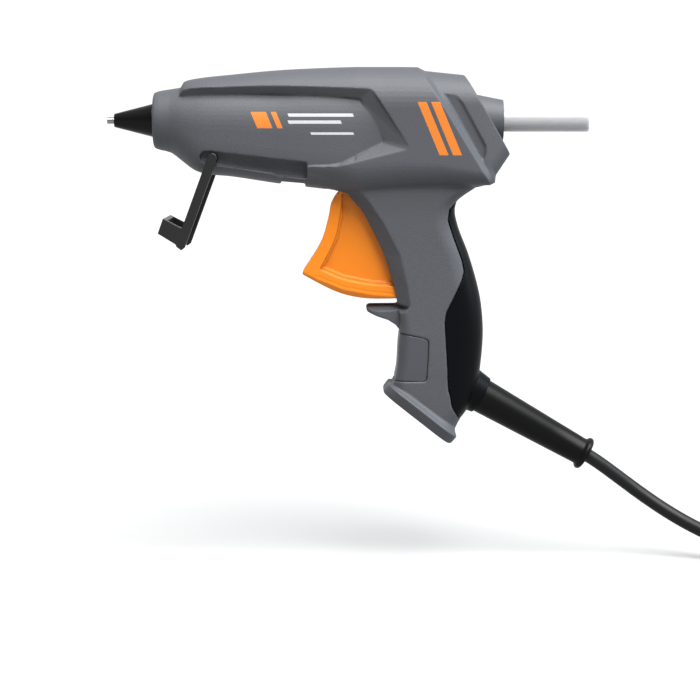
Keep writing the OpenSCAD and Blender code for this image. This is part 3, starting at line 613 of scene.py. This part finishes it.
def make_trigger():
    trigger = copy_of("trigger", "trigger_lever")
    # a groove over the foot, a sunk web, and a foot that narrows underneath, on both sides
    groove = [(-55.6, 12.7), (-42.8, 7.3), (-28.4, 4.6), (-16.8, 3.7)]
    for side in (-1, 1):
        for a, b in zip(groove, groove[1:]):
            start, end = (a[0], side * 10.7, a[1]), (b[0], side * 10.7, b[1])
            combine(trigger, rod("groove", start, end, 1.0, n=16), "DIFFERENCE")
    web = [(-43.2, 54), (-42.6, 43.6), (-45, 31.6), (-50.3, 20.2), (-52.4, 17), (-42.2, 12.6), (-28.2, 9.8),
           (-18.6, 9.3), (-4, 9.2), (-10, 40), (-28, 56.5)]
    for side in (-1, 1):
        combine(trigger, slab("web", web, side * 6.4, side * 20), "DIFFERENCE")
    # x, and the height where the foot starts to narrow and where it ends
    band = [(-66, 17.6, 12), (-55.6, 12.4, 7), (-42.8, 7.1, 2.5), (-28.4, 4.4, -0.5), (-16.8, 3.5, -1.6),
            (-2, 2.6, -2.4)]
    for side in (-1, 1):
        under = []
        for x, high, low in band:
            ring = [(FOOT_W + 0.1, high), (FOOT_W - 2.6, low), (FOOT_W - 2.6, low - 8), (20, low - 8),
                    (20, high)]
            under.append([(x, side * y, z) for y, z in ring])
        combine(trigger, skin("under", under), "DIFFERENCE")
    soften(trigger, 0.34, rounds=3, keep=120000)
    return take_over(trigger, "trigger", "trigger")


def make_stand():
    stand = copy_of("stand", "folding_stand")
    soften(stand, 0.3, rounds=4, keep=90000)
    return take_over(stand, "stand", "stand")


def make_sleeve():
    """The tapered rubber sleeve with its rolled end, turned about the lead's line."""
    profile = [(-8, 3.6), (-8, 9.6), (-6, 9.6), (-6, 8.3), (0.1, 8.3), (0.2, 8.75)] \
        + [(0.6 + 57 * f, 8.75 - 1.9 * f) for f in (0, 0.33, 0.66, 1)] \
        + [(58.2, 7.2)] + arc(60.1, 6.9, 1.7, 130, 0, 7) + [(61.8, 5.2), (61.4, 4.4), (61.2, 3.6)]
    n, m = 96, len(profile)
    side, up = Vector((0, 1, 0)), EXIT_DIR.cross(Vector((0, 1, 0)))
    turns = [2 * math.pi * k / n for k in range(n)]
    points = [tuple(EXIT_FACE + t * EXIT_DIR + r * (math.cos(a) * side + math.sin(a) * up))
              for t, r in profile for a in turns]
    faces = [[i * n + j, i * n + (j + 1) % n, ((i + 1) % m) * n + (j + 1) % n, ((i + 1) % m) * n + j]
             for i in range(m) for j in range(n)]
    sleeve = new_object("cord_sleeve", points, faces)
    pick(sleeve)
    bpy.ops.object.shade_smooth_by_angle(angle=math.radians(35))
    return take_over(sleeve, "strain_relief", "tool")


def make_plug():
    plug = copy_of("mains_plug", "plug_body")
    soften(plug, 0.4, rounds=8, keep=60000)
    return take_over(plug, "mains_plug", "tool")


def make_nozzle_sleeve():
    tip = copy_of("nozzle_sleeve", "tip_sleeve")
    soften(tip, 0.2, rounds=10, keep=60000)
    return take_over(tip, "nozzle_sleeve", "tool")


def make_stick():
    stick = rod("glue_rod", (-100, 0, AXIS_Z), (80.5, 0, AXIS_Z), 5.6, n=96)
    pick(stick)
    edge = stick.modifiers.new("edge", "BEVEL")
    edge.width, edge.segments, edge.limit_method = 0.45 * MM, 3, "ANGLE"
    bpy.ops.object.modifier_apply(modifier="edge")
    bpy.ops.object.shade_smooth_by_angle(angle=math.radians(50))
    return take_over(stick, "glue_stick", "stick")


# ---- finishes ----
def material(name, colour, rough, metallic=0.0, **extra):
    mat = bpy.data.materials.new(name)
    mat.use_nodes = True
    shader = mat.node_tree.nodes["Principled BSDF"]
    shader.inputs["Base Color"].default_value = (*colour, 1)
    shader.inputs["Roughness"].default_value = rough
    shader.inputs["Metallic"].default_value = metallic
    for key, value in extra.items():
        shader.inputs[key.replace("_", " ")].default_value = value
    return mat


def grain(mat, scale, strength, distance):
    """Fine moulded texture, as small bumps on the object's own coordinates."""
    nodes, links = mat.node_tree.nodes, mat.node_tree.links
    kinds = ("ShaderNodeTexCoord", "ShaderNodeTexNoise", "ShaderNodeBump")
    place, noise, bump = (nodes.new(kind) for kind in kinds)
    noise.inputs["Scale"].default_value = scale
    noise.inputs["Detail"].default_value = 2.0
    bump.inputs["Strength"].default_value = strength
    bump.inputs["Distance"].default_value = distance
    links.new(place.outputs["Object"], noise.inputs["Vector"])
    links.new(noise.outputs["Fac"], bump.inputs["Height"])
    links.new(bump.outputs["Normal"], nodes["Principled BSDF"].inputs["Normal"])
    return noise


BAR_SLANT = 0.42   # lean of the printed bars, along per up
SIDE_Y = 0.017     # metres from the middle, past which a face counts as a side


def housing_finish():
    """Spark-textured grey plastic with printed slanted bars on both sides."""
    grey, orange, pale = (0.037, 0.039, 0.045), (0.4, 0.105, 0.004), (0.3, 0.305, 0.32)
    mat = material("housing_grey", grey, 0.6, Specular_IOR_Level=0.35)
    noise = grain(mat, 1500, 0.35, 0.00025)
    nodes, links = mat.node_tree.nodes, mat.node_tree.links

    def node_of(op, a, b):
        node = nodes.new("ShaderNodeMath")
        node.operation = op
        for socket, value in zip(node.inputs, (a, b)):
            if isinstance(value, (int, float)):
                socket.default_value = value
            else:
                links.new(value, socket)
        return node.outputs[0]

    place = nodes.new("ShaderNodeTexCoord")
    split = nodes.new("ShaderNodeSeparateXYZ")
    links.new(place.outputs["Object"], split.inputs[0])
    x, y, z = split.outputs

    def bar(x0, x1, z0, z1):
        """Inside a leaning bar: x0 to x1 at its foot z0, and up to z1."""
        u = node_of("ADD", x, node_of("MULTIPLY", node_of("SUBTRACT", z, z0 * MM), BAR_SLANT))
        inside = node_of("MULTIPLY", node_of("GREATER_THAN", u, x0 * MM), node_of("LESS_THAN", u, x1 * MM))
        tall = node_of("MULTIPLY", node_of("GREATER_THAN", z, z0 * MM), node_of("LESS_THAN", z, z1 * MM))
        return node_of("MULTIPLY", inside, tall)

    def bars(places):
        masks = [bar(*place) for place in places]
        both = masks[0]
        for mask in masks[1:]:
            both = node_of("MAXIMUM", both, mask)
        return both

    on_side = node_of("GREATER_THAN", node_of("ABSOLUTE", y, 0), SIDE_Y)
    orange_bars = bars([(5, 9.4, 73, 99), (11.6, 16, 73, 99), (-84.5, -77, 86.2, 94.2),
                        (-74.6, -72, 86.2, 94.2)])
    pale_bars = bars([(-69, -37, 91.8, 93.4), (-69, -43, 88.4, 90), (-58, -37, 83, 84.2)])
    mottle = nodes.new("ShaderNodeMapRange")
    mottle.inputs["To Min"].default_value, mottle.inputs["To Max"].default_value = 0.8, 1.2
    links.new(noise.outputs["Fac"], mottle.inputs["Value"])
    base = nodes.new("ShaderNodeMixRGB")
    base.blend_type = "MULTIPLY"
    base.inputs[0].default_value = 1
    base.inputs[1].default_value = (*grey, 1)
    links.new(mottle.outputs[0], base.inputs[2])
    colour = base.outputs[0]
    for mask, tint in ((orange_bars, orange), (pale_bars, pale)):
        mix = nodes.new("ShaderNodeMixRGB")
        links.new(node_of("MULTIPLY", mask, on_side), mix.inputs[0])
        links.new(colour, mix.inputs[1])
        mix.inputs[2].default_value = (*tint, 1)
        colour = mix.outputs[0]
    links.new(colour, nodes["Principled BSDF"].inputs["Base Color"])
    return mat


def finishes():
    made = {"housing_grey": housing_finish()}

    def add(name, colour, rough, metallic=0.0, bump=None, **extra):
        made[name] = material(name, colour, rough, metallic, **extra)
        if bump:
            grain(made[name], *bump)

    add("grip_rubber", (0.001, 0.0012, 0.0016), 0.4, bump=(900, 0.12, 0.0001), Specular_IOR_Level=0.06)
    add("pad_rubber", (0.034, 0.036, 0.043), 0.5, bump=(1100, 0.15, 0.0001), Specular_IOR_Level=0.3)
    add("trigger_orange", (0.5, 0.135, 0.003), 0.42, bump=(1000, 0.08, 0.0001), Specular_IOR_Level=0.25)
    add("stand_plastic", (0.007, 0.0068, 0.0066), 0.36, bump=(900, 0.08, 0.0001), Specular_IOR_Level=0.25)
    add("relief_rubber", (0.0016, 0.0016, 0.0016), 0.38, bump=(900, 0.1, 0.0001), Specular_IOR_Level=0.09)
    add("cord_rubber", (0.0035, 0.0035, 0.0036), 0.45, bump=(900, 0.15, 0.0001), Specular_IOR_Level=0.16)
    add("plug_rubber", (0.005, 0.005, 0.0055), 0.45, bump=(900, 0.15, 0.0001), Specular_IOR_Level=0.3)
    add("sleeve_silicone", (0.001, 0.001, 0.001), 0.32, bump=(900, 0.06, 0.0001), Specular_IOR_Level=0.12)
    add("seal_silicone", (0.3, 0.04, 0.03), 0.5)
    add("glue", (0.26, 0.262, 0.27), 0.25, Specular_IOR_Level=0.3, Subsurface_Weight=1,
        Subsurface_Scale=0.008, Subsurface_Radius=(1, 1, 1))
    add("nozzle_steel", (0.2, 0.195, 0.19), 0.32, 1.0, bump=(2500, 0.05, 0.0001))
    add("screw_steel", (0.6, 0.6, 0.61), 0.3, 1.0)
    add("spring_steel", (0.55, 0.55, 0.56), 0.3, 1.0)
    add("cast_aluminium", (0.6, 0.6, 0.61), 0.42, 1.0, bump=(800, 0.3, 0.0002))
    add("heater_ceramic", (0.5, 0.3, 0.1), 0.5)
    add("heat_board", (0.2, 0.09, 0.04), 0.6)
    add("inner_plastic", (0.6, 0.58, 0.52), 0.45)
    add("wire_insulation", (0.75, 0.75, 0.7), 0.6)
    add("tie_plastic", (0.7, 0.7, 0.68), 0.45)
    add("pin_brass", (0.72, 0.7, 0.66), 0.22, 1.0)
    return made


def dress(made, pieces):
    for node in frame["record"]["subparts"]:
        obj = frame["nodes"][node["node"]]
        obj.data.materials.clear()
        obj.data.materials.append(made[node["material_slot"]])
    for obj, name in pieces:
        obj.data.materials.clear()
        obj.data.materials.append(made[name])


# ---- the room ----
FLOOR_SIZE = 60    # metres, far past the view
FLOOR_TONE, FLOOR_GLOW = 0.2, 0.3


def make_floor():
    bpy.ops.object.select_all(action="DESELECT")
    bpy.ops.mesh.primitive_plane_add(size=FLOOR_SIZE, location=(0, 0, FLOOR_Z * MM - 0.0002))
    floor = bpy.context.object
    floor.name = "floor"
    mat = material("floor_white", (FLOOR_TONE, FLOOR_TONE, FLOOR_TONE), 0.9)
    shader = mat.node_tree.nodes["Principled BSDF"]
    shader.inputs["Specular IOR Level"].default_value = 0.0
    shader.inputs["Emission Color"].default_value = (1, 1, 1, 1)
    shader.inputs["Emission Strength"].default_value = FLOOR_GLOW
    floor.data.materials.append(mat)


def light_room():
    """White beyond the tool and dimmer before it, a broad overhead lamp, and a cool one at the rear end."""
    world = bpy.data.worlds.new("world")
    bpy.context.scene.world = world
    world.use_nodes = True
    nodes, links = world.node_tree.nodes, world.node_tree.links
    back = nodes["Background"]
    kinds = ("ShaderNodeTexCoord", "ShaderNodeSeparateXYZ", "ShaderNodeMapRange")
    place, split, fade = (nodes.new(kind) for kind in kinds)
    for socket, value in (("From Min", -0.5), ("From Max", 0.4), ("To Min", 0.55), ("To Max", 1.05)):
        fade.inputs[socket].default_value = value
    links.new(place.outputs["Generated"], split.inputs[0])
    links.new(split.outputs[1], fade.inputs["Value"])
    links.new(fade.outputs[0], back.inputs["Strength"])
    back.inputs["Color"].default_value = (1, 1, 1, 1)
    lamps = [("overhead", 11, 50, (-0.25, 0.46, -1), (1, 1, 1)),
             ("behind", 2.6, 30, (-1, 0.12, -0.5), (0.74, 0.9, 1))]
    for name, strength, spread, aim, colour in lamps:
        data = bpy.data.lights.new(name, "SUN")
        data.energy, data.angle, data.color = strength, math.radians(spread), colour
        lamp = bpy.data.objects.new(name, data)
        bpy.context.scene.collection.objects.link(lamp)
        lamp.rotation_euler = Vector(aim).to_track_quat("-Z", "Y").to_euler()
    bpy.context.scene.view_settings.view_transform = "Standard"
    bpy.context.scene.view_settings.look = "None"


# ---- build ----
left_shell, right_shell = make_housing()
grips = [soft_grip("grip_left", "left_grip", True), soft_grip("grip_right", "right_grip", False)]
finger_rest = make_finger_pad()
trigger_lever, folding_stand = make_trigger(), make_stand()
cord_sleeve, plug_body = make_sleeve(), make_plug()
tip_sleeve, glue_rod = make_nozzle_sleeve(), make_stick()
dress(finishes(), [(left_shell, "housing_grey"), (right_shell, "housing_grey"), (grips[0], "grip_rubber"),
                   (grips[1], "grip_rubber"), (finger_rest, "pad_rubber"),
                   (trigger_lever, "trigger_orange"), (folding_stand, "stand_plastic"),
                   (cord_sleeve, "relief_rubber"), (plug_body, "plug_rubber"),
                   (tip_sleeve, "sleeve_silicone"), (glue_rod, "glue"), (cord, "cord_rubber"),
                   (inner_cord, "cord_rubber")])
make_floor()
light_room()
